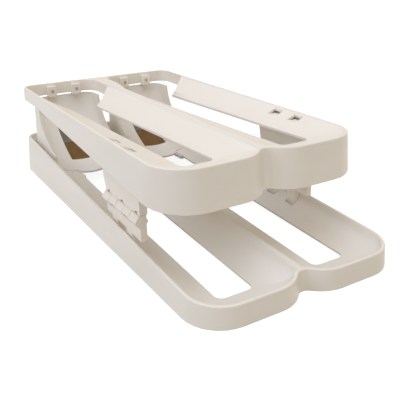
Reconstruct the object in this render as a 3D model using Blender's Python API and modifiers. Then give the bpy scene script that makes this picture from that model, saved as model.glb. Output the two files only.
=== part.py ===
"""Rolling egg dispenser: two sloping trays, one above the other, with a chute behind each lane.

The eggs roll backwards down the upper tray, drop into a chute, and roll forwards
down the lower tray. Metres, +X to the right, +Y to the rear, +Z up.
The origin is the middle of the footprint, on the surface that the object stands on.
"""

import math

import bmesh
import bpy
from mathutils import Vector

# Both trays, seen from above
rim_half_width = 0.0790
rim_land = 0.0027
wall = 0.0022
draft_share = 0.09
rear_corner_radius = 0.0120
notch_depth = 0.0107
notch_half_width = 0.0248
notch_valley_radius = 0.0080
rim_round = 0.0009
ridge_round = 0.0022
ridge_land = 0.0004
roof = 0.0024

# Lower tray
lower_length = 0.3475
lower_rim_front = 0.0150
lower_rim_rear = 0.0346
lower_front_corner_radius = 0.0255
lower_slot_inner = 0.0254
lower_slot_outer = 0.0531
lower_slot_front_height = 0.0014
lower_slot_rear_height = 0.0164
lower_sheet = 0.0016
lower_trough_share = 1.9

# Upper tray
upper_length = 0.2970
upper_setback = 0.0080
total_height = 0.0850
upper_front_corner_radius = 0.0280
upper_front_depth = 0.0285
upper_rear_depth = 0.0115
belly_slope_share = 0.070
upper_slot_inner = 0.0277
upper_slot_outer = 0.0527
upper_slot_front_drop = 0.0071
upper_slot_rear_drop = 0.0157
upper_sheet = 0.0018
upper_trough_share = 1.12

# Troughs and openings of both trays
slot_corner_radius = 0.0052
bowl_front = 0.0240
bowl_rear = 0.0190
drop_hole_length = 0.0650
drop_diagonal = 0.0225
drop_skirt = 0.0018
drop_lap = 0.0016
drop_rib_half = 0.0066
drop_arch_radius = 0.0130
hole_corner_radius = 0.0092
bay_ledge = 0.0022
bay_corner_radius = 0.0070

# Chutes
chute_sheet = 0.0016
chute_top_half = 0.0296
chute_foot_half = 0.0331
chute_panel_inset = 0.0015
chute_top_gap = 0.0018
chute_reach = 0.0750
tongue_length = 0.0081
chute_foot_height = 0.0003
chute_curve_share = 1.72
cheek_depth = 0.0210
cheek_foot = 0.0170
cheek_curve_share = 2.1
chute_corner_radius = 0.0100
chute_foot_corner_height = 0.0120
chute_low = 0.0030
cavity_drop = 0.0140
cavity_inset = 0.0004
rear_gate_half = 0.0240
rear_gate_height = 0.0200
window_half = 0.0125
window_rear_share = 0.167
window_front_share = 0.660
window_bulge = 0.0016
tongue_round = 0.0045
hook_length = 0.0140
hook_root = 0.0025
hook_width = 0.0018
hook_reach = 0.0030
hook_thickness = 0.0014
clearance = 0.0003

# Landing pads behind the lower half of each window
pad_half = 0.0150
pad_thickness = 0.0016
pad_top_height = 0.0310
pad_foot_height = 0.0165

# Sockets on the rear wall, and the chute tabs that stand in them
socket_pitch = 0.0250
socket_offset = 0.0011
socket_width = 0.0085
socket_depth = 0.0052
socket_height = 0.0100
socket_hang = 0.0015
socket_hole_width = 0.0038
socket_hole_depth = 0.0022
socket_window = 0.0030
tab_width = 0.0030
tab_thickness = 0.0014
tab_height = 0.0078
tab_root = 0.0022

# Side brackets that carry the upper tray on the lower one
bracket_length = 0.0570
bracket_rear_distance = 0.2025
bracket_inset = 0.0040
bead_rise = 0.0150
bead_inset = 0.0012
bead_half_width = 0.0049
bead_half_height = 0.0047
seam_window_length = 0.0036
seam_window_height = 0.0016
knuckle_count = 5
upper_plate_thickness = 0.0057
upper_plate_drop = 0.0078
upper_plate_slant = 0.0085
lower_plate_thickness = 0.0048
plate_foot_rise = 0.0022
prong_pitch = 0.0246
prong_offset = 0.0028
prong_width = 0.0098
upper_prong_inset = 0.0004
upper_prong_thickness = 0.0066
upper_pocket_width = 0.0076
upper_prong_drop = 0.0055
upper_prong_length = 0.0060
lower_prong_thickness = 0.0046
lower_pocket_width = 0.0064
lower_prong_foot = 0.0085
pocket_clearance = 0.0002

# One overrun for every cutter that has to pass a face, and one for a curve that ends on a face
overrun = 0.0040
skim = 0.00002

# Steps along the curves
valley_steps = 4
shoulder_steps = 6
corner_steps = 8
small_corner_steps = 5
side_steps = 6
trough_steps = 7
chute_steps = 14
cheek_steps = 11

# Places worked out from the sizes above
lower_rear = (lower_length + draft_share * (lower_rim_front - lower_rim_rear)) / 2
lower_front = lower_rear - lower_length
upper_rear = lower_rear - upper_setback
upper_front = upper_rear - upper_length
shoulder_radius = (notch_half_width ** 2 + notch_depth ** 2) / (2 * notch_depth) - notch_valley_radius
notch_angle = 2 * math.atan2(notch_depth, notch_half_width)
lower_lane = (lower_slot_inner + lower_slot_outer) / 2
upper_lane = (upper_slot_inner + upper_slot_outer) / 2
bracket_rear = lower_rear - bracket_rear_distance
bracket_front = bracket_rear - bracket_length
bracket_outer = rim_half_width - bracket_inset
bay_length = upper_setback + chute_panel_inset + chute_reach - tongue_length


def clear_scene():
    for item in list(bpy.data.objects):
        bpy.data.objects.remove(item, do_unlink=True)


def new_collection(name):
    made = bpy.data.collections.new(name)
    bpy.context.scene.collection.children.link(made)
    return made


def new_material(name, colour, roughness):
    made = bpy.data.materials.new(name)
    made.use_nodes = True
    shader = made.node_tree.nodes["Principled BSDF"]
    shader.inputs["Base Color"].default_value = (*colour, 1.0)
    shader.inputs["Roughness"].default_value = roughness
    shader.inputs["Metallic"].default_value = 0.0
    return made


def blend(a, b, share):
    return a + (b - a) * share


def arc(centre, radius, start, end, steps, first=0):
    """Points and outward normals along an arc. Angles in degrees."""
    made = []
    for step in range(first, steps + 1):
        angle = math.radians(blend(start, end, step / steps))
        normal = (math.cos(angle), math.sin(angle))
        made.append((centre[0] + radius * normal[0], centre[1] + radius * normal[1], *normal))
    return made


class Tray:
    """The plan and the heights of one tray."""

    def __init__(self, rear, front, rim_rear, rim_front, corner, slot, slot_heights, share, sheet,
                 rib=None):
        self.rear = rear
        self.front = front
        self.rim_rear = rim_rear
        self.rim_front = rim_front
        self.corner = corner
        self.slot_inner, self.slot_outer = slot
        self.slot_rear, self.slot_front = slot_heights
        self.share = share
        self.sheet = sheet
        self.rib = rib

    def rim(self, y):
        return blend(self.rim_rear, self.rim_front, (self.rear - y) / (self.rear - self.front))

    def slot_edge(self, y):
        return blend(self.slot_rear, self.slot_front, (self.rear - y) / (self.rear - self.front))


lower = Tray(lower_rear, lower_front, lower_rim_rear, lower_rim_front, lower_front_corner_radius,
             (lower_slot_inner, lower_slot_outer),
             (lower_slot_rear_height, lower_slot_front_height), lower_trough_share, lower_sheet)
upper = Tray(upper_rear, upper_front, total_height, total_height, upper_front_corner_radius,
             (upper_slot_inner, upper_slot_outer),
             (total_height - upper_slot_rear_drop, total_height - upper_slot_front_drop),
             upper_trough_share, upper_sheet,
             (drop_rib_half - clearance,
              upper_rear - drop_hole_length + drop_diagonal + drop_skirt,
              upper_rear - drop_hole_length - drop_skirt))


def notch_arcs(tray, inset):
    """The valley and the shoulder of the front notch, on the right, moved in by inset."""
    turn = math.degrees(notch_angle)
    valley_centre = (0.0, tray.front + notch_depth - notch_valley_radius)
    shoulder_centre = (notch_half_width, tray.front + shoulder_radius)
    valley = arc(valley_centre, notch_valley_radius + inset, 90, 90 - turn, valley_steps)
    valley = [(x, y, -nx, -ny) for x, y, nx, ny in valley]
    shoulder = arc(shoulder_centre, shoulder_radius - inset, 270 - turn, 270, shoulder_steps, 1)
    return valley, shoulder


def tray_outline(tray, inset=0.0):
    """The closed outline of the tray with its outward normals."""
    half = rim_half_width - inset
    front = tray.front + inset
    rear = tray.rear - inset
    front_radius = tray.corner - inset
    rear_radius = rear_corner_radius - inset
    valley, shoulder = notch_arcs(tray, inset)
    right = valley + shoulder
    right += arc((half - front_radius, front + front_radius), front_radius, 270, 360, corner_steps)
    side_front = front + front_radius
    side_rear = rear - rear_radius
    for step in range(1, side_steps):
        right.append((half, blend(side_front, side_rear, step / side_steps), 1.0, 0.0))
    right += arc((half - rear_radius, rear - rear_radius), rear_radius, 0, 90, small_corner_steps)
    left = [(-x, y, -nx, ny) for x, y, nx, ny in right if x > wall / 2]
    return right + left[::-1]


def inner_side(tray, rear, front):
    """The lengthwise places of the points between the rear corner and the notch."""
    if not tray.rib:
        return [blend(rear, front, step / side_steps) for step in range(1, side_steps)]
    _, wide, narrow = tray.rib
    made = [wide, (wide + narrow) / 2, narrow]
    left = side_steps - len(made)
    made += [blend(narrow, front, step / left) for step in range(1, left)]
    return made


def ridge_half(tray, y):
    """Half the ridge's flat top: a wide rib beside the drop holes, a rounded crest in front."""
    crest = ridge_round + ridge_land / 2
    if not tray.rib:
        return crest
    half, wide, narrow = tray.rib
    share = min(max((wide - y) / (wide - narrow), 0.0), 1.0)
    return blend(half, crest, share)


def edge_round(tray, x, nx):
    """The rounding of an edge: wide along the crest, narrow along the rim and the rib."""
    crest = ridge_round + ridge_land / 2
    if nx > -0.99:
        return rim_round
    if not tray.rib:
        return ridge_round
    return blend(ridge_round, rim_round, min(max((x - crest) / (tray.rib[0] - crest), 0.0), 1.0))


def lane_outline(tray):
    """Where the trough of the right lane meets the rim and the ridge."""
    inner = ridge_half(tray, tray.rear)
    crest = ridge_half(tray, tray.front)
    half = rim_half_width - rim_land
    front = tray.front + rim_land
    rear = tray.rear - rim_land
    front_radius = tray.corner - rim_land
    rear_radius = rear_corner_radius - rim_land
    valley, shoulder = notch_arcs(tray, rim_land)
    reach = notch_valley_radius + rim_land
    centre_y = tray.front + notch_depth - notch_valley_radius
    start = math.degrees(math.acos(crest / reach))
    end = 90 - math.degrees(notch_angle)
    valley = arc((0.0, centre_y), reach, start, end, valley_steps)
    valley = [(x, y, -nx, -ny) for x, y, nx, ny in valley]
    made = valley + shoulder
    made += arc((half - front_radius, front + front_radius), front_radius, 270, 360, corner_steps)
    side_front = front + front_radius
    side_rear = rear - rear_radius
    for step in range(1, side_steps):
        made.append((half, blend(side_front, side_rear, step / side_steps), 1.0, 0.0))
    made += arc((half - rear_radius, side_rear), rear_radius, 0, 90, small_corner_steps)
    arch = drop_arch_radius
    made += arc((inner + arch, rear - arch), arch, 90, 180, small_corner_steps)
    for y in inner_side(tray, rear - arch, valley[0][1]):
        made.append((ridge_half(tray, y), y, -1.0, 0.0))
    return made


def slot_outline(tray):
    """The floor slot of the right lane, with as many points as the lane's outline."""
    radius = slot_corner_radius
    x0 = tray.slot_inner
    x1 = tray.slot_outer
    front = tray.front + rim_land + bowl_front
    rear = tray.rear - rim_land - bowl_rear
    made = arc((x0 + radius, front + radius), radius, 180, 270, valley_steps + shoulder_steps)
    made += arc((x1 - radius, front + radius), radius, 270, 360, corner_steps)
    for step in range(1, side_steps):
        made.append((x1, blend(front + radius, rear - radius, step / side_steps), 1.0, 0.0))
    made += arc((x1 - radius, rear - radius), radius, 0, 90, small_corner_steps)
    made += arc((x0 + radius, rear - radius), radius, 90, 180, small_corner_steps)
    for y in inner_side(tray, rear - radius, front + radius):
        made.append((x0, y, -1.0, 0.0))
    return made


def link(name, mesh, collection, material=None):
    made = bpy.data.objects.new(name, mesh)
    collection.objects.link(made)
    if material:
        mesh.materials.append(material)
    return made


def hide_cutter(item):
    item.display_type = "WIRE"
    item.hide_render = True
    return item


def mirrored(points):
    """A ring seen from the other side, still in the same turning sense."""
    return [(-x, y, z) for x, y, z in reversed(points)]


def loft(name, rings, collection, material=None, closed=True):
    """Skin a stack of rings, listed from the lowest to the highest, and cap both ends."""
    form = bmesh.new()
    rows = [[form.verts.new(point) for point in ring] for ring in rings]
    for low, high in zip(rows, rows[1:]):
        count = len(low) if closed else len(low) - 1
        for i in range(count):
            j = (i + 1) % len(low)
            form.faces.new((low[i], low[j], high[j], high[i]))
    if closed:
        form.faces.new(rows[0][::-1])
        form.faces.new(rows[-1])
        bmesh.ops.recalc_face_normals(form, faces=form.faces)
    mesh = bpy.data.meshes.new(name)
    form.to_mesh(mesh)
    form.free()
    return link(name, mesh, collection, material)


def prism(name, outline, axis, start, end, collection, material=None):
    """A flat outline carried along X, Y or Z from start to end."""
    places = {"X": lambda u, v: (start, u, v),
              "Y": lambda u, v: (u, start, v),
              "Z": lambda u, v: (u, v, start)}
    form = bmesh.new()
    face = form.faces.new([form.verts.new(places[axis](u, v)) for u, v in outline])
    grown = bmesh.ops.extrude_face_region(form, geom=[face])
    step = Vector([end - start if letter == axis else 0.0 for letter in "XYZ"])
    moved = [item for item in grown["geom"] if isinstance(item, bmesh.types.BMVert)]
    bmesh.ops.translate(form, verts=moved, vec=step)
    bmesh.ops.recalc_face_normals(form, faces=form.faces)
    mesh = bpy.data.meshes.new(name)
    form.to_mesh(mesh)
    form.free()
    return link(name, mesh, collection, material)


def box(name, low, high, collection, material=None):
    form = bmesh.new()
    bmesh.ops.create_cube(form, size=1.0)
    size = Vector(high) - Vector(low)
    bmesh.ops.scale(form, verts=form.verts, vec=size)
    bmesh.ops.translate(form, verts=form.verts, vec=(Vector(high) + Vector(low)) / 2)
    mesh = bpy.data.meshes.new(name)
    form.to_mesh(mesh)
    form.free()
    return link(name, mesh, collection, material)


def boolean(item, other, operation="DIFFERENCE"):
    change = item.modifiers.new(operation.title() + " " + other.name, "BOOLEAN")
    change.object = other
    change.operation = operation
    change.solver = "EXACT"
    hide_cutter(other)
    return item


def tray_shell(tray, name, foot, collection, material):
    """The outer body, from the drafted foot up to the rounded rim."""
    plan = tray_outline(tray)
    rings = [[(x + nx * draft_share * (tray.rim(y) - foot),
               y + ny * draft_share * (tray.rim(y) - foot), foot) for x, y, nx, ny in plan]]
    for turn in (0, 30, 60, 90):
        inset = rim_round * (1 - math.cos(math.radians(turn)))
        drop = rim_round * (1 - math.sin(math.radians(turn)))
        rings.append([(x - nx * inset, y - ny * inset, tray.rim(y - ny * inset) - drop)
                      for x, y, nx, ny in plan])
    return loft(name, rings, collection, material)


def tray_hollow(tray, name, foot, collection):
    """The space inside the outer wall, before the troughs are taken out of it."""
    plan = tray_outline(tray)
    rings = []
    for share in (0.0, 1.0):
        ring = []
        for x, y, nx, ny in plan:
            low = foot - overrun
            high = tray.rim(y) - roof
            z = blend(low, high, share)
            inset = wall - draft_share * (tray.rim(y) - z)
            ring.append((x - nx * inset, y - ny * inset, z))
        rings.append(ring)
    return hide_cutter(loft(name, rings, collection))


def trough_rings(tray, grow):
    """Rings of the trough from the slot's edge to the rim, moved out by grow."""
    lane = lane_outline(tray)
    slot = slot_outline(tray)
    power = 2 / tray.share
    shares = []
    for step in range(trough_steps + 1):
        angle = math.pi / 2 * step / trough_steps
        shares.append((math.sin(angle) ** power, 1 - math.cos(angle) ** power))
    columns = []
    for (lx, ly, nx, ny), (sx, sy, _, _) in zip(lane, slot):
        rounding = edge_round(tray, lx, nx)
        column = []
        for across, up in shares:
            x = blend(sx, lx, across)
            y = blend(sy, ly, across)
            top = tray.rim(y) - rounding
            column.append(Vector((x, y, blend(tray.slot_edge(y), top, up))))
        columns.append(column)
    if grow:
        columns = [grown_column(column, grow) for column in columns]
    return lane, [[tuple(column[i]) for column in columns] for i in range(trough_steps + 1)]


def grown_column(column, grow):
    """One profile of the trough, moved along its own normal to the sheet's under side."""
    made = []
    out = Vector((column[-1].x - column[0].x, column[-1].y - column[0].y, 0.0)).normalized()
    last = len(column) - 1
    for i, point in enumerate(column):
        along = column[min(i + 1, last)] - column[max(i - 1, 0)]
        run = along.dot(out)
        rise = along.z
        size = math.hypot(run, rise)
        made.append(point + out * (grow * rise / size) - Vector((0.0, 0.0, grow * run / size)))
    return made


def trough_cutter(tray, name, foot, side, collection):
    """The egg's lane: the trough, the rounded rim above it and the slot below it."""
    lane, rings = trough_rings(tray, 0.0)
    low = [(x, y, foot - overrun) for x, y, z in rings[0]]
    stack = [low] + rings
    for turn in (45, 90):
        ring = []
        for x, y, nx, ny in lane:
            rounding = edge_round(tray, x, nx)
            out = rounding * (1 - math.cos(math.radians(turn)))
            drop = rounding * (1 - math.sin(math.radians(turn)))
            ring.append((x + nx * out, y + ny * out, tray.rim(y) - drop + skim))
        stack.append(ring)
    stack.append([(x, y, z + overrun) for x, y, z in stack[-1]])
    if side < 0:
        stack = [mirrored(ring) for ring in stack]
    return hide_cutter(loft(name, stack, collection))


def trough_keeper(tray, name, side, collection):
    """The trough with its sheet: what the hollow under the tray must leave standing."""
    _, rings = trough_rings(tray, tray.sheet)
    stack = rings + [[(x, y, z + overrun) for x, y, z in rings[-1]]]
    if side < 0:
        stack = [mirrored(ring) for ring in stack]
    return hide_cutter(loft(name, stack, collection))


def turned(outline, side):
    return [(side * x, y) for x, y in outline]


def plan_arc(centre, radius, start, end, steps):
    return [(x, y) for x, y, _, _ in arc(centre, radius, start, end, steps)]


def drop_hole_outline(grow=0.0):
    """The hole at the rear of the upper lane, with its funnel edges and its arched corner."""
    outer = rim_half_width - rim_land + clearance + grow
    inner = drop_rib_half - grow
    rear = upper_rear - rim_land + grow
    slope = drop_diagonal / (upper_slot_inner - drop_rib_half)
    outer_slope = drop_diagonal / (outer - upper_slot_outer)
    front = upper_rear - drop_hole_length - grow * math.hypot(1.0, slope)
    arch = drop_arch_radius + grow
    corner = hole_corner_radius + grow
    made = [(upper_slot_inner + drop_lap, front - drop_lap * slope),
            (inner, front + drop_diagonal + grow * slope)]
    made += plan_arc((inner + arch, rear - arch), arch, 180, 90, small_corner_steps)
    made += plan_arc((outer - corner, rear - corner), corner, 90, 0, small_corner_steps)
    made += [(outer, front + drop_diagonal),
             (upper_slot_outer - drop_lap, front - drop_lap * outer_slope)]
    return made


def bay_outline():
    """The open bay at the rear of the lower lane, where the chute stands."""
    half = chute_foot_half + chute_sheet + clearance
    rear = lower_rear - rim_land - bay_ledge
    front = lower_rear - bay_length
    corner = bay_corner_radius
    inner = lower_lane - half
    outer = lower_lane + half
    made = [(inner, front)]
    made += plan_arc((inner + corner, rear - corner), corner, 180, 90, small_corner_steps)
    made += plan_arc((outer - corner, rear - corner), corner, 90, 0, small_corner_steps)
    made += [(outer, front)]
    return made


def belly_outline():
    """What is cut from under the upper tray, whose belly rises to the rear."""
    low = total_height - upper_front_depth
    rear_low = total_height - upper_rear_depth
    front = upper_front - overrun
    rear = upper_rear + overrun
    crease = upper_front + (rear_low - low) / belly_slope_share
    depth = low - 2 * overrun
    return [(front, depth), (front, low + belly_slope_share * (front - upper_front)),
            (crease, rear_low), (rear, rear_low), (rear, depth)]


def prong_places():
    middle = bracket_rear - bracket_length / 2 + prong_offset
    return (middle + prong_pitch / 2, middle - prong_pitch / 2)


def build_tray(tray, name, foot, collection, cutters, material, skirts=(), belly=None):
    """The shell less its troughs, and the hollow that is cut last, less the skirts and sheets."""
    body = tray_shell(tray, name, foot, collection, material)
    hollow = tray_hollow(tray, name + "_hollow", foot, cutters)
    for skirt in skirts:
        boolean(hollow, skirt)
    if belly:
        boolean(hollow, belly, "UNION")
    for side, word in ((1, "right"), (-1, "left")):
        boolean(hollow, trough_keeper(tray, name + "_keeper_" + word, side, cutters))
        boolean(body, trough_cutter(tray, name + "_trough_" + word, foot, side, cutters))
    return body, hollow


def build_upper_tray(collection, cutters, material):
    foot = total_height - upper_front_depth - overrun
    skirts = []
    for side, word in ((1, "right"), (-1, "left")):
        skirts.append(prism("drop_skirt_" + word, turned(drop_hole_outline(drop_skirt), side), "Z",
                            foot - 2 * overrun, total_height + overrun, cutters))
    reach = rim_half_width * 2
    belly = prism("upper_belly", belly_outline(), "X", -reach, reach, cutters)
    body, hollow = build_tray(upper, "upper_tray", foot, collection, cutters, material, skirts,
                              belly)
    for side, word in ((1, "right"), (-1, "left")):
        hole = prism("drop_hole_" + word, turned(drop_hole_outline(), side), "Z",
                     foot - overrun, total_height + overrun, cutters)
        boolean(body, hole)
    boolean(body, hollow)
    for side, word in ((1, "right"), (-1, "left")):
        for number, x in enumerate(socket_places(side)):
            add_socket(body, "socket_%s_%d" % (word, number), x, cutters)
    for side, word in ((1, "right"), (-1, "left")):
        x1 = side * (bracket_outer - upper_prong_inset + pocket_clearance)
        x0 = x1 - side * upper_pocket_width
        half = prong_width / 2 + pocket_clearance
        for number, y in enumerate(prong_places()):
            pocket = box("upper_pocket_%s_%d" % (word, number), (min(x0, x1), y - half, foot),
                         (max(x0, x1), y + half, total_height + overrun), cutters)
            boolean(body, pocket)
    return body


def socket_places(side):
    """Both sockets above one chute. The two chutes are alike, so both are offset the same way."""
    middle = side * lower_lane + socket_offset
    return (middle - socket_pitch / 2, middle + socket_pitch / 2)


def add_socket(body, name, x, cutters):
    """A box on the rear wall, open below for the chute's tab and in front for its catch."""
    face = upper_rear - rim_land
    low = total_height - upper_rear_depth - socket_hang
    front = face - socket_depth
    block = box(name, (x - socket_width / 2, front, low),
                (x + socket_width / 2, face + wall / 3, low + socket_height), cutters)
    boolean(body, block, "UNION")
    back = tab_front() + tab_thickness + clearance
    bore = box(name + "_bore", (x - socket_hole_width / 2, back - socket_hole_depth, low - overrun),
               (x + socket_hole_width / 2, back, low + tab_height + clearance), cutters)
    boolean(body, bore)
    middle = low + socket_height / 2
    half = socket_window / 2
    look = box(name + "_window", (x - half, front - overrun, middle - half),
               (x + half, back - socket_hole_depth / 2, middle + half), cutters)
    boolean(body, look)


def tab_front():
    """The front face of a chute's tab, in the middle of its socket."""
    return upper_rear - rim_land - socket_depth / 2 - tab_thickness / 2


def build_lower_tray(collection, cutters, material):
    body, hollow = build_tray(lower, "lower_tray", 0.0, collection, cutters, material)
    for side, word in ((1, "right"), (-1, "left")):
        bay = prism("bay_" + word, turned(bay_outline(), side), "Z",
                    -overrun, lower_rim_rear + overrun, cutters)
        boolean(body, bay)
    for side, word in ((1, "right"), (-1, "left")):
        x1 = side * (bracket_outer + 2 * pocket_clearance)
        x0 = side * (bracket_outer - lower_pocket_width)
        half = prong_width / 2 + pocket_clearance
        for number, y in enumerate(prong_places()):
            pocket = box("lower_pocket_%s_%d" % (word, number),
                         (min(x0, x1), y - half, lower_prong_foot - pocket_clearance),
                         (max(x0, x1), y + half, lower_rim_rear + overrun), cutters)
            boolean(body, pocket)
    return boolean(body, hollow)


def super_curve(turn, share):
    """A superellipse's two shares at an angle in degrees."""
    power = 2 / share
    return math.cos(math.radians(turn)) ** power, math.sin(math.radians(turn)) ** power


def chute_foot():
    """The height of the chute's floor at its tip, level with the lower trough's floor."""
    return lower.slot_edge(chute_rear() - chute_reach) + chute_foot_height


def chute_rear():
    return upper_rear - chute_panel_inset


def chute_top():
    return total_height - upper_rear_depth - chute_top_gap


def ramp_point(turn):
    run, drop = super_curve(turn, chute_curve_share)
    y = chute_rear() - chute_reach * (1 - run)
    z = chute_foot() + (chute_top() - chute_foot()) * (1 - drop)
    return Vector((0.0, y, z))


def cheek_point(turn):
    run, drop = super_curve(turn, cheek_curve_share)
    top = chute_rear() - cheek_depth
    foot = chute_foot() + cheek_foot
    y = top - (chute_reach - cheek_depth) * (1 - run)
    z = foot + (chute_top() - foot) * (1 - drop)
    return Vector((0.0, y, z))


def chute_half(z):
    """Half the chute's inner width at a height: it widens downwards to the bay."""
    share = (chute_top() - z) / (chute_top() - chute_foot())
    return blend(chute_top_half, chute_foot_half, min(share, 1.0))


def chute_section(turn, lane, grow=0.0):
    """The egg's space across the ramp: floor, rounded corners and both sides, as a closed ring."""
    along = ramp_point(max(turn - 1, 0)) - ramp_point(min(turn + 1, 90))
    back = Vector((0.0, along.z, -along.y)).normalized()
    floor = ramp_point(turn) + back * grow
    up = cheek_point(turn) - ramp_point(turn)
    height = up.length + overrun
    up.normalize()
    ease = (turn / 90) ** 3
    foot_across = chute_foot_half - (lower_slot_outer - lower_slot_inner) / 2
    across = blend(chute_corner_radius, foot_across, ease) + grow
    rise = blend(chute_corner_radius, chute_foot_corner_height, ease) + grow
    right = []
    for step in range(small_corner_steps + 2):
        angle = math.pi / 2 * step / (small_corner_steps + 1)
        right.append((across * (1 - math.sin(angle)), rise * (1 - math.cos(angle))))
    right.append((0.0, height))
    made = []
    for way, profile in ((-1, right[::-1]), (1, right)):
        for inset, h in profile:
            point = floor + up * h
            half = chute_half(point.z) + grow
            made.append((lane + way * (half - inset), point.y, point.z))
    return made


def chute_scoop(name, lane, grow, collection):
    """The egg's whole way through the chute, open above and in front."""
    rings = [chute_section(90 * step / chute_steps, lane, grow) for step in range(chute_steps + 1)]
    top = [(x, y, z + overrun) for x, y, z in rings[0]]
    front = [(x, y - overrun, z) for x, y, z in rings[-1]]
    return hide_cutter(loft(name, [top] + rings + [front], collection))


def chute_column(name, lane, grow, low, high, front, collection, material=None):
    """An upright column with a rounded rear, as wide as the chute at every height."""
    rings = []
    for z in (low, chute_foot(), high):
        half = chute_half(z) + grow
        rear = chute_rear() + grow
        corner = chute_corner_radius + grow
        plan = [(lane - half, front)]
        plan += plan_arc((lane - half + corner, rear - corner), corner, 180, 90, small_corner_steps)
        plan += plan_arc((lane + half - corner, rear - corner), corner, 90, 0, small_corner_steps)
        plan.append((lane + half, front))
        rings.append([(x, y, z) for x, y in plan])
    return loft(name, rings, collection, material)


def cheek_cutter(name, lane, cutters):
    """Everything in front of the curved front edges of the chute's two sides."""
    curve = [cheek_point(90 * step / cheek_steps) for step in range(cheek_steps + 1)]
    front = chute_rear() - chute_reach - overrun
    outline = [(point.y, point.z) for point in curve]
    outline += [(front, curve[-1].z), (front, chute_top() + overrun),
                (curve[0].y, chute_top() + overrun)]
    reach = chute_foot_half + chute_sheet + overrun
    return prism(name, outline, "X", lane - reach, lane + reach, cutters)


def build_chute(name, lane, side, collection, cutters, material):
    """A column with the egg's way and the space behind the ramp taken out of it."""
    tip = chute_rear() - chute_reach
    body = chute_column(name, lane, chute_sheet, chute_low, chute_top(), tip - overrun / 2,
                        collection, material)
    cavity = chute_column(name + "_cavity", lane, -cavity_inset, chute_low - overrun,
                          chute_top() - cavity_drop, tip - overrun, cutters)
    boolean(cavity, chute_scoop(name + "_keeper", lane, chute_sheet, cutters))
    boolean(body, cheek_cutter(name + "_front", lane, cutters))
    boolean(body, chute_scoop(name + "_scoop", lane, 0.0, cutters))
    boolean(body, cavity)
    boolean(body, window_cutter(name + "_window", lane, cutters))
    gate = box(name + "_gate", (lane - rear_gate_half, chute_rear() - overrun, chute_low - overrun),
               (lane + rear_gate_half, chute_rear() + overrun, rear_gate_height), cutters)
    boolean(body, gate)
    boolean(body, tongue_cutter(name + "_tongue", lane, cutters))
    add_tabs(body, name, side, cutters)
    add_hooks(body, name, lane, cutters)
    return body


def window_cutter(name, lane, cutters):
    rear = chute_rear() - chute_reach * window_rear_share
    front = chute_rear() - chute_reach * window_front_share
    bulge = window_bulge
    made = [(lane + window_half, rear), (lane - window_half, rear)]
    for step in range(small_corner_steps + 1):
        share = blend(-1, 1, step / small_corner_steps)
        made.append((lane + share * window_half, front - bulge * (1 - share ** 2)))
    return prism(name, made, "Z", 0.0, total_height - upper_front_depth, cutters)


def tongue_cutter(name, lane, cutters):
    """Trims the chute's end to the bay, but for the tongue that closes the slot's rear end."""
    shoulder = lower_rear - bay_length + clearance
    tip = chute_rear() - chute_reach
    half = (lower_slot_outer - lower_slot_inner) / 2 - clearance
    side = chute_foot_half + chute_sheet + overrun
    made = [(lane - side, shoulder), (lane - half, shoulder), (lane - half, tip + tongue_round)]
    for step in range(1, small_corner_steps):
        share = blend(-1, 1, step / small_corner_steps)
        made.append((lane + share * half, tip + tongue_round * share ** 2))
    made += [(lane + half, tip + tongue_round), (lane + half, shoulder), (lane + side, shoulder),
             (lane + side, tip - overrun), (lane - side, tip - overrun)]
    return prism(name, made, "Z", 0.0, total_height - upper_front_depth, cutters)


def add_tabs(body, name, side, cutters):
    """Two tabs that rise from the chute's rear edge into the sockets of the upper tray."""
    tab_top = total_height - upper_rear_depth - socket_hang + tab_height
    front = tab_front()
    back = front + tab_thickness
    root_rear = chute_rear() + chute_sheet / 2
    root_low = chute_top() - tab_root
    root_top = chute_top() - clearance
    outline = [(front, root_low), (root_rear, root_low), (root_rear, root_top), (back, root_top),
               (back, tab_top), (front, tab_top)]
    for number, x in enumerate(socket_places(side)):
        tab = prism("%s_tab_%d" % (name, number), outline, "X",
                    x - tab_width / 2, x + tab_width / 2, cutters)
        boolean(body, tab, "UNION")


def add_hooks(body, name, lane, cutters):
    """Two hooks beside the tongue that catch under the edges of the lower slot."""
    tip = chute_rear() - chute_reach
    edge = (lower_slot_outer - lower_slot_inner) / 2
    rear = tip + tongue_round + hook_root
    front = rear - hook_length
    under = lower.slot_edge(front) - lower_sheet - clearance
    low = under - hook_thickness
    high = lower.slot_edge(rear) - chute_sheet / 2
    for number, way in enumerate((-1, 1)):
        outer = lane + way * (edge - clearance)
        inner = outer - way * hook_width
        tip_x = lane + way * (edge + hook_reach)
        outline = [(inner, low), (tip_x, low), (tip_x, under), (outer, under), (outer, high),
                   (inner, high)]
        hook = prism("%s_hook_%d" % (name, number), outline, "Y", front, rear, cutters)
        boolean(body, hook, "UNION")


def turn_at_height(height):
    """The ramp's angle where its floor passes a height."""
    share = 1 - (height - chute_foot()) / (chute_top() - chute_foot())
    return math.degrees(math.asin(share ** (chute_curve_share / 2)))


def build_pad(name, lane, collection, material):
    """A thin pad against the ramp's back, seen through the lower half of the window."""
    start = turn_at_height(pad_top_height)
    end = turn_at_height(pad_foot_height)
    depth = chute_sheet + clearance
    rings = []
    steps = small_corner_steps
    for step in range(steps + 1):
        turn = blend(end, start, step / steps)
        along = ramp_point(turn - 1) - ramp_point(turn + 1)
        back = Vector((0.0, along.z, -along.y)).normalized()
        middle = ramp_point(turn) + back * depth
        rings.append([tuple(middle + Vector((lane + way * pad_half, 0.0, 0.0))) for way in (-1, 1)])
    body = loft(name, rings, collection, material, closed=False)
    shell = body.modifiers.new("Sheet", "SOLIDIFY")
    shell.thickness = pad_thickness
    shell.offset = -1.0
    shell.use_even_offset = True
    return body


def bracket_middle():
    return (bracket_rear + bracket_front) / 2


def bead_height():
    return lower.rim(bracket_middle()) + bead_rise


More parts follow.
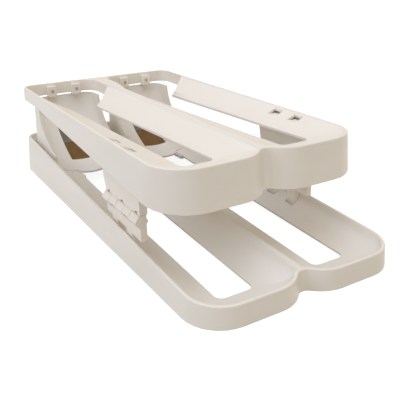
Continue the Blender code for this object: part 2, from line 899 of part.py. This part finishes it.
def knuckle_spans():
    """The stretches of the bead from the rear: the odd ones belong to the upper bracket."""
    stretch = bracket_length / knuckle_count
    return [(bracket_rear - number * stretch, bracket_rear - (number + 1) * stretch)
            for number in range(knuckle_count)]


def bead_outline(x, low, high):
    """The bead's six-sided section between two heights."""
    corners = ((0.35, 1.0), (1.0, 0.1), (0.35, -1.0), (-0.35, -1.0), (-1.0, 0.1), (-0.35, 1.0))
    made = []
    for across, up in corners:
        made.append((x + bead_half_width * across,
                     min(max(bead_height() + bead_half_height * up, low), high)))
    return made


def seam_outline(upper_side):
    """The stepped seam between the two brackets, moved off its middle by half a clearance."""
    middle = bead_height()
    top = middle + bead_half_height
    move = clearance / 2 if upper_side else -clearance / 2
    made = []
    for number, (rear, front) in enumerate(knuckle_spans()):
        z = middle if number % 2 else top
        shift = move if number % 2 else -move
        made.append((rear - (shift if number else 0.0), z + move))
        made.append((front + (shift if number < knuckle_count - 1 else 0.0), z + move))
    return made


def bead_piece(name, x, rear, front, low, high, cutters):
    return prism(name, bead_outline(x, low, high), "Y", front, rear, cutters)


def build_upper_bracket(name, side, collection, cutters, material):
    """Hangs under the upper trough, with two prongs up into its pockets."""
    outer = bracket_outer
    inner = outer - upper_plate_thickness
    top = total_height - upper_plate_drop
    outline = seam_outline(True) + [(bracket_front, top), (bracket_rear + upper_plate_slant, top)]
    body = prism(name, outline, "X", side * inner, side * outer, collection, material)
    bead_x = side * (outer - bead_inset)
    move = clearance / 2
    for number, (rear, front) in enumerate(knuckle_spans()):
        if number % 2:
            piece = bead_piece("%s_knuckle_%d" % (name, number), bead_x, rear - move, front + move,
                               bead_height() + move, total_height, cutters)
            boolean(body, piece, "UNION")
    for number, (rear, front) in enumerate(knuckle_spans()):
        if number % 2 == 0:
            add_seam_window(body, "%s_seam_%d" % (name, number), side, (rear + front) / 2,
                            bead_height() + bead_half_height, 1, cutters)
    x1 = side * (outer - upper_prong_inset)
    x0 = x1 - side * upper_prong_thickness
    for number, y in enumerate(prong_places()):
        prong_top = total_height - upper_prong_drop
        prong = box("%s_prong_%d" % (name, number),
                    (min(x0, x1), y - prong_width / 2, prong_top - upper_prong_length),
                    (max(x0, x1), y + prong_width / 2, prong_top), cutters)
        boolean(body, prong, "UNION")
    return body


def add_seam_window(body, name, side, y, z, way, cutters):
    """A small slot at the seam, above a lower knuckle or below an upper one."""
    half = seam_window_length / 2
    reach = bracket_outer + bead_half_width
    low = z if way > 0 else z - seam_window_height
    high = z + seam_window_height if way > 0 else z
    x0 = side * (bracket_outer - upper_plate_thickness - overrun)
    x1 = side * reach
    look = box(name, (min(x0, x1), y - half, low - clearance), (max(x0, x1), y + half, high + clearance),
               cutters)
    boolean(body, look)


def build_lower_bracket(name, side, collection, cutters, material):
    """Stands in the pockets of the lower trough and carries the bead."""
    outer = bracket_outer
    inner = outer - lower_plate_thickness
    outline = seam_outline(False)
    outline += [(bracket_front, lower.rim(bracket_front) + plate_foot_rise),
                (bracket_rear, lower.rim(bracket_rear) + plate_foot_rise)]
    body = prism(name, outline, "X", side * inner, side * outer, collection, material)
    bead_x = side * (outer - bead_inset)
    move = clearance / 2
    rail = bead_piece(name + "_rail", bead_x, bracket_rear, bracket_front, 0.0,
                      bead_height() - move, cutters)
    boolean(body, rail, "UNION")
    for number, (rear, front) in enumerate(knuckle_spans()):
        if number % 2 == 0:
            piece = bead_piece("%s_knuckle_%d" % (name, number), bead_x,
                               rear - (move if number else 0.0),
                               front + (move if number < knuckle_count - 1 else 0.0),
                               0.0, bead_height() + bead_half_height - move, cutters)
            boolean(body, piece, "UNION")
    for number, (rear, front) in enumerate(knuckle_spans()):
        if number % 2:
            add_seam_window(body, "%s_seam_%d" % (name, number), side, (rear + front) / 2,
                            bead_height(), -1, cutters)
    x0 = side * (outer - lower_prong_thickness)
    x1 = side * outer
    for number, y in enumerate(prong_places()):
        prong = box("%s_prong_%d" % (name, number), (min(x0, x1), y - prong_width / 2, lower_prong_foot),
                    (max(x0, x1), y + prong_width / 2, lower.rim(y) + 2 * plate_foot_rise), cutters)
        boolean(body, prong, "UNION")
    return body


def build():
    clear_scene()
    parts = new_collection("rolling_egg_dispenser")
    cutters = new_collection("cutters")
    cream = (0.80, 0.76, 0.70)
    upper_cream = new_material("upper_tray", cream, 0.42)
    lower_cream = new_material("lower_tray", cream, 0.42)
    chute_cream = new_material("chute", (0.80, 0.76, 0.71), 0.45)
    bracket_cream = new_material("bracket", (0.80, 0.75, 0.68), 0.45)
    pad_brown = new_material("pad", (0.16, 0.09, 0.035), 0.85)
    build_upper_tray(parts, cutters, upper_cream)
    build_lower_tray(parts, cutters, lower_cream)
    for side, word in ((1, "right"), (-1, "left")):
        lane = side * lower_lane
        build_chute("chute_" + word, lane, side, parts, cutters, chute_cream)
        build_pad("landing_pad_" + word, lane, parts, pad_brown)
        build_upper_bracket("upper_bracket_" + word, side, parts, cutters, bracket_cream)
        build_lower_bracket("lower_bracket_" + word, side, parts, cutters, bracket_cream)


build()
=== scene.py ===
# %% [markdown]
# # A rolling egg dispenser
# Two sloping trays of cream plastic stand one above the other. Eggs roll backwards down the upper
# tray, drop into a chute behind each lane and roll forwards down the lower tray.
# The imported solids are loaded first, because they fix every size and place in this scene. What
# this script adds is the skin: soft edges, moulded plastic, a dark brown pad of painted shade in
# each chute window, and the light.

# %% Load the solids
import math

import bmesh
import bpy
from mathutils import Matrix, Vector


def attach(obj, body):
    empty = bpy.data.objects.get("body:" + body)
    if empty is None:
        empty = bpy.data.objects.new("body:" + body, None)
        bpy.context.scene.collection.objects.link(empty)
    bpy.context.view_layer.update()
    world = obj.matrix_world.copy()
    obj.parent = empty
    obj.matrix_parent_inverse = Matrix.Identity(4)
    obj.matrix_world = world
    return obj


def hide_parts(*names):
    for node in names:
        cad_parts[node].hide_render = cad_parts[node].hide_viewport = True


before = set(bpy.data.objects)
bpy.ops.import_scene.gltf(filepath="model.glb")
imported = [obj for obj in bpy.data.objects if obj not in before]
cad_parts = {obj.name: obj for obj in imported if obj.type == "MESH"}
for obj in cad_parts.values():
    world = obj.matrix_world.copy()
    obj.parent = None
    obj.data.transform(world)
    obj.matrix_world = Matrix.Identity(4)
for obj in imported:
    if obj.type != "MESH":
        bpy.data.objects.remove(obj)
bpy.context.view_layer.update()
print("solids:", sorted(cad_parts))

# %% [markdown]
# ## The camera
# The view is from the left front corner and above, as in the photograph. Its place and its three
# angles were fitted to the straight rims of both trays, so that the render can be laid over it.
# The angles are turned into one matrix: first the roll about the line of sight, then the pitch
# down from the horizon, then the heading round the vertical.

# %% Place the camera
sensor_width_mm = 36.0
lens_mm = 50.85
nearest_seen = 0.01
farthest_seen = 50.0
eye = (-0.21604, -0.39685, 0.19726)
heading = math.radians(31.162)
pitch = math.radians(23.141)
roll = math.radians(-0.721)

camera_data = bpy.data.cameras.new("camera")
camera_data.sensor_width = sensor_width_mm
camera_data.lens = lens_mm
camera_data.clip_start = nearest_seen
camera_data.clip_end = farthest_seen
camera = bpy.data.objects.new("camera", camera_data)
bpy.context.scene.collection.objects.link(camera)
turn = Matrix.Rotation(-heading, 4, "Z") @ Matrix.Rotation(math.pi / 2 - pitch, 4, "X")
camera.matrix_world = Matrix.Translation(eye) @ turn @ Matrix.Rotation(roll, 4, "Z")
bpy.context.scene.camera = camera
print("camera at", [round(v, 3) for v in camera.matrix_world.translation])

# %% [markdown]
# ## The floor
# A wide floor runs out of the picture on all sides, so that the photograph's view has no horizon.
# One flat square is enough, because it is smooth and nothing bends it.

# %% Lay the floor
floor_reach = 6.0

floor_form = bmesh.new()
bmesh.ops.create_grid(floor_form, x_segments=1, y_segments=1, size=floor_reach)
floor_mesh = bpy.data.meshes.new("floor")
floor_form.to_mesh(floor_mesh)
floor_form.free()
floor = bpy.data.objects.new("floor", floor_mesh)
bpy.context.scene.collection.objects.link(floor)
print("floor is", floor.dimensions.x, "m wide")

# %% [markdown]
# ## The floor's paint
# The floor is lit like any surface, which keeps the soft shadow under the trays. To what looks at
# it, the camera or a reflection, it also glows, so that it reads as white paper. The glow adds no
# light to the dispenser, because the Light Path node switches it off for all other rays.


# %% Paint the floor
def add_node(tree, kind, **settings):
    """A new node with its settings, such as operation="ADD"."""
    made = tree.nodes.new(kind)
    for name, value in settings.items():
        setattr(made, name, value)
    return made


paper_colour = (0.46, 0.45, 0.44, 1.0)
paper_glow = 0.90

floor_paper = bpy.data.materials.new("floor_paper")
floor_paper.use_nodes = True
tree = floor_paper.node_tree
tree.nodes.clear()
paper = add_node(tree, "ShaderNodeBsdfDiffuse")
paper.inputs["Color"].default_value = paper_colour
glow = add_node(tree, "ShaderNodeEmission")
glow.inputs["Strength"].default_value = paper_glow
dark = add_node(tree, "ShaderNodeEmission")
dark.inputs["Strength"].default_value = 0.0
rays = add_node(tree, "ShaderNodeLightPath")
seen = add_node(tree, "ShaderNodeMath", operation="MAXIMUM")
looked = add_node(tree, "ShaderNodeMath", operation="MAXIMUM")
tree.links.new(rays.outputs["Is Camera Ray"], seen.inputs[0])
tree.links.new(rays.outputs["Is Glossy Ray"], seen.inputs[1])
tree.links.new(seen.outputs[0], looked.inputs[0])
tree.links.new(rays.outputs["Is Transmission Ray"], looked.inputs[1])
choose = add_node(tree, "ShaderNodeMixShader")
tree.links.new(looked.outputs[0], choose.inputs[0])
tree.links.new(dark.outputs[0], choose.inputs[1])
tree.links.new(glow.outputs[0], choose.inputs[2])
both = add_node(tree, "ShaderNodeAddShader")
tree.links.new(paper.outputs[0], both.inputs[0])
tree.links.new(choose.outputs[0], both.inputs[1])
result = add_node(tree, "ShaderNodeOutputMaterial")
tree.links.new(both.outputs[0], result.inputs["Surface"])
floor_mesh.materials.append(floor_paper)
print("floor paint:", len(tree.nodes), "nodes")

# %% [markdown]
# ## The lamps
# Four large soft boxes light the trays: two cool ones overhead, a cool one on the left and a weak
# warm one on the right. They were first rendered one at a time and their strengths fitted to the
# tones of the photograph, which is quicker than guessing. Large lamps give soft shadows, and they
# are kept weak enough that no cream surface turns to plain white.


# %% Hang the lamps
aim = (0.0, 0.0, 0.03)


def hang_lamp(name, place, size, watts, colour):
    """A square soft box at place that faces the middle of the dispenser."""
    data = bpy.data.lights.new(name, "AREA")
    data.shape = "SQUARE"
    data.size = size
    data.energy = watts
    data.color = colour
    lamp = bpy.data.objects.new(name, data)
    bpy.context.scene.collection.objects.link(lamp)
    lamp.location = place
    lamp.rotation_euler = (Vector(aim) - Vector(place)).to_track_quat("-Z", "Y").to_euler()
    return lamp


hang_lamp("top_front_light", place=(-0.20, -0.45, 1.45), size=1.3, watts=6.3,
          colour=(0.77, 0.925, 1.25))
hang_lamp("top_rear_light", place=(-0.10, 0.55, 1.45), size=1.3, watts=4.0,
          colour=(0.77, 0.925, 1.25))
hang_lamp("left_light", place=(-1.5, -0.10, 0.70), size=1.0, watts=5.3,
          colour=(0.79, 0.93, 1.27))
hang_lamp("right_light", place=(1.5, 0.10, 0.90), size=1.0, watts=2.2,
          colour=(1.0, 0.86, 0.68))

# %% [markdown]
# ## The air of the room
# The world lights the trays from all sides with a warm fill. The camera itself sees white paper
# there, for views so low that they look past the edge of the floor.

# %% Fill the air
air_colour = (1.0, 0.87, 0.665, 1.0)
air_strength = 0.62
white = (1.0, 1.0, 1.0, 1.0)

world = bpy.data.worlds.new("studio_air")
world.use_nodes = True
tree = world.node_tree
air = tree.nodes["Background"]
air.inputs["Color"].default_value = air_colour
air.inputs["Strength"].default_value = air_strength
backdrop = add_node(tree, "ShaderNodeBackground")
backdrop.inputs["Color"].default_value = white
sight = add_node(tree, "ShaderNodeLightPath")
choose = add_node(tree, "ShaderNodeMixShader")
tree.links.new(sight.outputs["Is Camera Ray"], choose.inputs[0])
tree.links.new(air.outputs[0], choose.inputs[1])
tree.links.new(backdrop.outputs[0], choose.inputs[2])
tree.links.new(choose.outputs[0], tree.nodes["World Output"].inputs["Surface"])
bpy.context.scene.world = world
bpy.context.scene.view_settings.view_transform = "Standard"
print("world:", len(tree.nodes), "nodes")

# %% [markdown]
# ## A group for moulded surfaces
# Moulded plastic is never one flat colour. The mould leaves a fine grain, the melt leaves faint
# streaks along the way it flowed, and handling polishes it unevenly. The dark brown pads of
# painted shade in the chute windows get the same three layers at other scales. So one node group
# makes them all, and each material gives it its own numbers. It puts out a colour, a roughness and
# a normal.
#
# The normal starts from a Bevel node. A mould can't make a knife edge, and this node bends the
# normals within a fraction of a millimetre of each edge, as a small radius would.


# %% Build the group
streak_stretch = (1.0, 0.22, 1.6)
streak_detail = 4.0
streak_roughness = 0.55
streak_fade = (0.35, 0.68)
grain_detail = 3.0
grain_roughness = 0.6
grain_depth = 0.001
edge_samples = 4
noise_middle = 0.5


def build_surface_group():
    """The node group: two colours and their grain go in, a varying surface comes out."""
    group = bpy.data.node_groups.new("moulded_surface", "ShaderNodeTree")
    faces = group.interface
    for name in ("Colour", "Streak Colour"):
        faces.new_socket(name, in_out="INPUT", socket_type="NodeSocketColor")
    for name in ("Streak Scale", "Grain Scale", "Grain Height", "Roughness", "Roughness Change",
                 "Edge Radius"):
        faces.new_socket(name, in_out="INPUT", socket_type="NodeSocketFloat")
    faces.new_socket("Colour", in_out="OUTPUT", socket_type="NodeSocketColor")
    faces.new_socket("Roughness", in_out="OUTPUT", socket_type="NodeSocketFloat")
    faces.new_socket("Normal", in_out="OUTPUT", socket_type="NodeSocketVector")
    given = add_node(group, "NodeGroupInput")
    taken = add_node(group, "NodeGroupOutput")
    where = add_node(group, "ShaderNodeTexCoord")

    stretch = add_node(group, "ShaderNodeMapping")
    stretch.inputs["Scale"].default_value = streak_stretch
    streaks = add_node(group, "ShaderNodeTexNoise")
    streaks.inputs["Detail"].default_value = streak_detail
    streaks.inputs["Roughness"].default_value = streak_roughness
    soften = add_node(group, "ShaderNodeMapRange", interpolation_type="SMOOTHSTEP")
    soften.inputs["From Min"].default_value = streak_fade[0]
    soften.inputs["From Max"].default_value = streak_fade[1]
    tint = add_node(group, "ShaderNodeMix", data_type="RGBA")
    group.links.new(where.outputs["Object"], stretch.inputs["Vector"])
    group.links.new(stretch.outputs["Vector"], streaks.inputs["Vector"])
    group.links.new(given.outputs["Streak Scale"], streaks.inputs["Scale"])
    group.links.new(streaks.outputs["Fac"], soften.inputs["Value"])
    group.links.new(soften.outputs["Result"], tint.inputs["Factor"])
    group.links.new(given.outputs["Colour"], tint.inputs["A"])
    group.links.new(given.outputs["Streak Colour"], tint.inputs["B"])
    group.links.new(tint.outputs["Result"], taken.inputs["Colour"])

    grain = add_node(group, "ShaderNodeTexNoise")
    grain.inputs["Detail"].default_value = grain_detail
    grain.inputs["Roughness"].default_value = grain_roughness
    edge = add_node(group, "ShaderNodeBevel", samples=edge_samples)
    bump = add_node(group, "ShaderNodeBump")
    bump.inputs["Distance"].default_value = grain_depth
    group.links.new(where.outputs["Object"], grain.inputs["Vector"])
    group.links.new(given.outputs["Grain Scale"], grain.inputs["Scale"])
    group.links.new(given.outputs["Edge Radius"], edge.inputs["Radius"])
    group.links.new(grain.outputs["Fac"], bump.inputs["Height"])
    group.links.new(given.outputs["Grain Height"], bump.inputs["Strength"])
    group.links.new(edge.outputs["Normal"], bump.inputs["Normal"])
    group.links.new(bump.outputs["Normal"], taken.inputs["Normal"])

    centred = add_node(group, "ShaderNodeMath", operation="SUBTRACT")
    centred.inputs[1].default_value = noise_middle
    change = add_node(group, "ShaderNodeMath", operation="MULTIPLY_ADD")
    group.links.new(streaks.outputs["Fac"], centred.inputs[0])
    group.links.new(centred.outputs[0], change.inputs[0])
    group.links.new(given.outputs["Roughness Change"], change.inputs[1])
    group.links.new(given.outputs["Roughness"], change.inputs[2])
    group.links.new(change.outputs[0], taken.inputs["Roughness"])
    return group


surface_group = build_surface_group()
print("surface group:", len(surface_group.nodes), "nodes")

# %% [markdown]
# ## The plastics and the painted shade
# Both trays are one cream plastic with a satin finish. The chutes come from another mould and are
# a touch paler, and the small bracket parts are paler still. The pads are dark brown painted shade
# for the darkness seen through each chute window: much rougher, with a coarse grain. Plain numbers
# such as these could sit on each shader, but the streaks and the grain make every one of them vary
# a little over the surface.


# %% Mix the materials
def surface_material(name, colour, streak, numbers):
    """A Principled material that is fed by the surface group."""
    made = bpy.data.materials.new(name)
    made.use_nodes = True
    tree = made.node_tree
    shader = tree.nodes["Principled BSDF"]
    surface = add_node(tree, "ShaderNodeGroup", node_tree=surface_group)
    surface.inputs["Colour"].default_value = (*colour, 1.0)
    surface.inputs["Streak Colour"].default_value = (*streak, 1.0)
    for socket, value in numbers.items():
        surface.inputs[socket].default_value = value
    tree.links.new(surface.outputs["Colour"], shader.inputs["Base Color"])
    tree.links.new(surface.outputs["Roughness"], shader.inputs["Roughness"])
    tree.links.new(surface.outputs["Normal"], shader.inputs["Normal"])
    return made


satin = {"Streak Scale": 26.0, "Grain Scale": 1500.0, "Grain Height": 0.05, "Roughness": 0.40,
         "Roughness Change": 0.22, "Edge Radius": 0.0004}
small_satin = {**satin, "Streak Scale": 70.0, "Edge Radius": 0.0003, "Roughness": 0.44}
# The pads' numbers: a rough, coarse grain on dark brown painted shade.
painted_shade_pad_numbers = {"Streak Scale": 190.0, "Grain Scale": 2600.0, "Grain Height": 0.75, "Roughness": 0.88,
        "Roughness Change": 0.2, "Edge Radius": 0.0004}
tray_cream = surface_material("tray_cream", colour=(0.875, 0.835, 0.765),
                              streak=(0.860, 0.818, 0.742), numbers=satin)
chute_cream = surface_material("chute_cream", colour=(0.880, 0.840, 0.775),
                               streak=(0.862, 0.822, 0.750), numbers=satin)
bracket_cream = surface_material("bracket_cream", colour=(0.945, 0.895, 0.820),
                                 streak=(0.930, 0.875, 0.790), numbers=small_satin)
# Painted shade: the pads' dark brown stands for the darkness seen through each chute window.
painted_shade_pad = surface_material("painted_shade_pad", colour=(0.245, 0.130, 0.041),
                            streak=(0.212, 0.111, 0.035), numbers=painted_shade_pad_numbers)
print("materials:", [m.name for m in bpy.data.materials])

# %% [markdown]
# ## Smooth skins
# The solids are loose flat triangles, which show as facets along every curve. A skin is a copy of
# a solid whose triangles are welded into one surface. Faces that meet at a small angle are then
# shaded as one curve, and sharper corners stay crisp. Weighting the normals by the area of the
# faces keeps the large flat walls flat right up to their rounded rims. No vertex moves, so the
# skin has the solid's exact shape.

# %% Weld the skins
weld_distance = 0.000002
flat_angle = math.radians(0.3)
crisp_angle = math.radians(34.0)
area_weight = 70


def smooth_skin(node_name, material):
    """A welded, smoothly shaded copy of a solid, which stands in for it."""
    form = bmesh.new()
    form.from_mesh(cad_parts[node_name].data)
    bmesh.ops.remove_doubles(form, verts=form.verts, dist=weld_distance)
    bmesh.ops.dissolve_limit(form, angle_limit=flat_angle, verts=form.verts, edges=form.edges)
    open_edges = sum(not edge.is_manifold for edge in form.edges)
    for face in form.faces:
        face.smooth = True
    mesh = bpy.data.meshes.new(node_name + "_skin")
    form.to_mesh(mesh)
    form.free()
    mesh.set_sharp_from_angle(angle=crisp_angle)
    mesh.materials.append(material)
    skin = bpy.data.objects.new(node_name + "_skin", mesh)
    bpy.context.scene.collection.objects.link(skin)
    weighted = skin.modifiers.new("Weighted normals", "WEIGHTED_NORMAL")
    weighted.keep_sharp = True
    weighted.weight = area_weight
    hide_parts(node_name)
    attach(skin, "root")
    print(skin.name, len(mesh.polygons), "faces,", open_edges, "open edges")
    return skin


smooth_skin("upper_tray", tray_cream)
smooth_skin("lower_tray", tray_cream)
for side in ("left", "right"):
    smooth_skin("chute_" + side, chute_cream)
    smooth_skin("upper_bracket_" + side, bracket_cream)
    smooth_skin("lower_bracket_" + side, bracket_cream)
    # The landing pads carry dark brown painted shade for the darkness seen through each chute
    # window.
    smooth_skin("landing_pad_" + side, painted_shade_pad)
